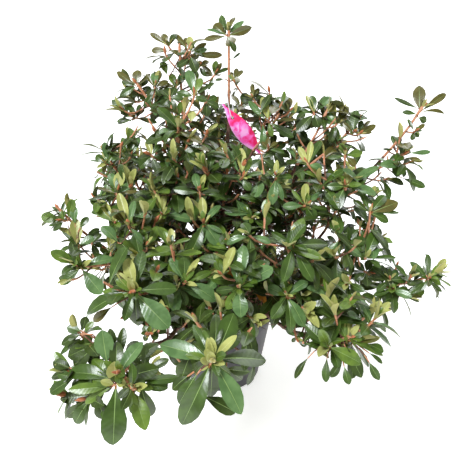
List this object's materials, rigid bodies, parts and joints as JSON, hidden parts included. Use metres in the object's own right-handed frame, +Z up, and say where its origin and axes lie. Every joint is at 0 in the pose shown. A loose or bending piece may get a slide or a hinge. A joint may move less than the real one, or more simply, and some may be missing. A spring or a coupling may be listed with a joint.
{
  "type": "potted azalea shrub",
  "caption": "Evergreen azalea shrub out of flower, with leaf whorls on forking boughs, in a round nursery pot with a hanging plant label.",
  "frame": {"origin": "centre of the pot's flat underside, on the surface that it stands on", "axes": "+Z up through the pot's axis, -Y towards the viewer of the picture, +X to the right"},
  "size_m": [0.6414, 0.7619, 0.6383],
  "materials": {
    "pot": "moulded dark grey polypropylene with a soft sheen",
    "compost": "moist dark brown potting compost of bark and peat crumbs",
    "bark": "thin grey-brown bark, finely fissured lengthwise",
    "foliage": "glossy dark green leaves with paler young leaves in the whorls",
    "label": "satin printed plastic, mottled pink, with no text",
    "tie": "translucent white plastic loop"
  },
  "bodies": {
    "root": {"pot": "pot", "potting_compost": "compost", "stool": "bark", "bough_front": "bark", "bough_right_low": "bark", "bough_right_tip": "bark", "bough_back_right": "bark", "bough_back_left": "bark", "bough_left": "bark", "bough_front_left": "bark", "bough_centre_front": "bark", "bough_right_front": "bark", "bough_right_side": "bark", "bough_right_top": "bark", "bough_back": "bark", "bough_left_high": "bark", "bough_left_front": "bark", "bough_centre_up": "bark", "bough_right_up": "bark", "bough_centre_right": "bark", "bough_top_centre": "bark", "bough_top_left": "bark", "bough_centre_left": "bark", "front_rosette": "foliage", "front_left_rosette": "foliage", "left_low_foliage": "foliage", "left_inner_foliage": "foliage", "left_centre_foliage": "foliage", "left_side_foliage": "foliage", "left_tip_foliage": "foliage", "left_front_foliage": "foliage", "left_high_foliage": "foliage", "upper_left_foliage": "foliage", "top_left_foliage": "foliage", "top_centre_foliage": "foliage", "centre_left_foliage": "foliage", "centre_high_foliage": "foliage", "centre_foliage": "foliage", "centre_low_foliage": "foliage", "inner_left_foliage": "foliage", "inner_right_foliage": "foliage", "upper_right_foliage": "foliage", "right_high_foliage": "foliage", "right_upper_foliage": "foliage", "right_middle_foliage": "foliage", "right_side_foliage": "foliage", "right_crest_foliage": "foliage", "right_shoulder_foliage": "foliage", "right_centre_foliage": "foliage", "right_inner_foliage": "foliage", "right_tip_foliage": "foliage", "right_low_foliage": "foliage", "back_left_foliage": "foliage", "back_left_low_foliage": "foliage", "back_right_foliage": "foliage", "back_right_low_foliage": "foliage", "back_high_foliage": "foliage", "back_low_foliage": "foliage", "plant_label": "label", "label_tie": "tie"}
  },
  "joints": []
}
